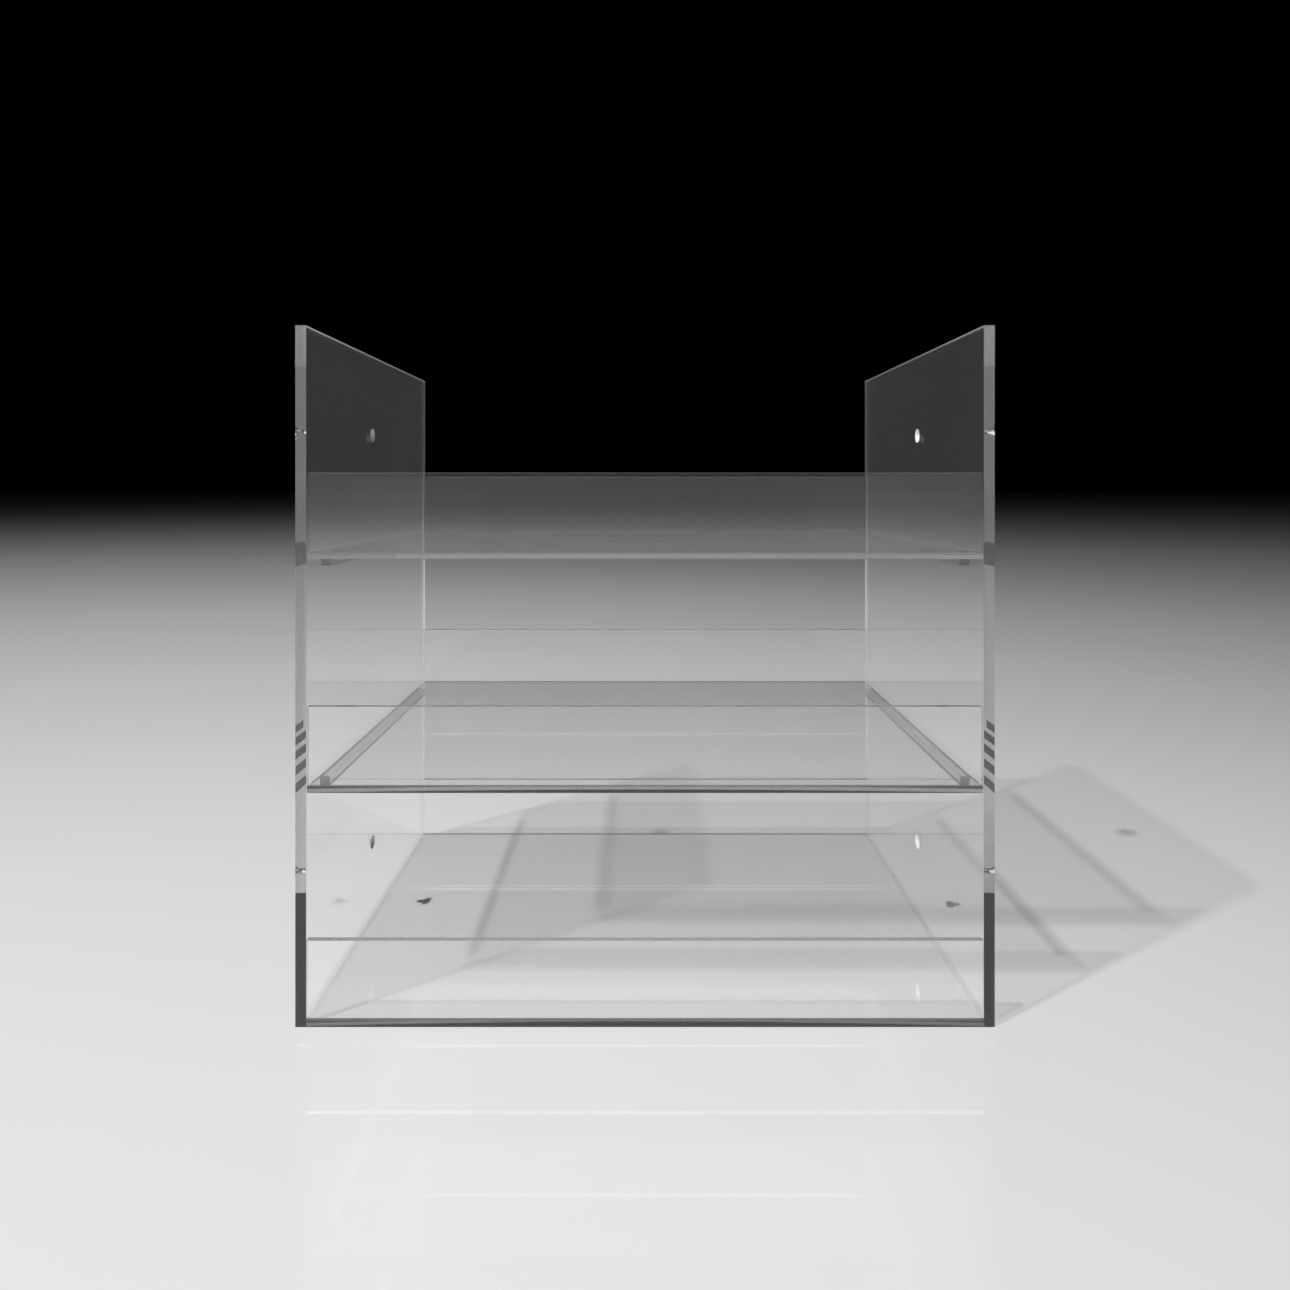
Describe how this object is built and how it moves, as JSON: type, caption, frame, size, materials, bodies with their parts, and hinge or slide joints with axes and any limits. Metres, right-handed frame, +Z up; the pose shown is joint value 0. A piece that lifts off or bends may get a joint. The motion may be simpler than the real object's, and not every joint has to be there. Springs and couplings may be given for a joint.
{
  "type": "bakery display case",
  "caption": "Open clear acrylic display case: two side panels carry stacked lipped trays on square cleats, and the raised trays slide out to the front or back.",
  "frame": {"origin": "on the surface that the case stands on, in the middle of its footprint", "axes": "+X to the customer's right when facing the front, front towards -Y, +Z up"},
  "size_m": [0.64, 0.42, 0.642],
  "materials": {
    "clear_acrylic_sheet": "clear, polished faces and flame-polished edges",
    "clear_acrylic_bar": "clear, polished"
  },
  "bodies": {
    "case": {"left_side_panel": "clear_acrylic_sheet", "right_side_panel": "clear_acrylic_sheet", "base_shelf": "clear_acrylic_sheet", "base_front_lip": "clear_acrylic_sheet", "base_rear_lip": "clear_acrylic_sheet", "left_middle_cleat": "clear_acrylic_bar", "left_upper_cleat": "clear_acrylic_bar", "right_middle_cleat": "clear_acrylic_bar", "right_upper_cleat": "clear_acrylic_bar"},
    "middle_tray": {"middle_shelf": "clear_acrylic_sheet", "middle_front_lip": "clear_acrylic_sheet", "middle_rear_lip": "clear_acrylic_sheet"},
    "upper_tray": {"upper_shelf": "clear_acrylic_sheet", "upper_front_lip": "clear_acrylic_sheet", "upper_rear_lip": "clear_acrylic_sheet"}
  },
  "joints": [
    {"name": "middle_tray_slide", "type": "slide", "parent": "case", "child": "middle_tray", "axis": [0, -1, 0], "range_m": [-0.43, 0.43]},
    {"name": "upper_tray_slide", "type": "slide", "parent": "case", "child": "upper_tray", "axis": [0, -1, 0], "range_m": [-0.43, 0.43]}
  ]
}
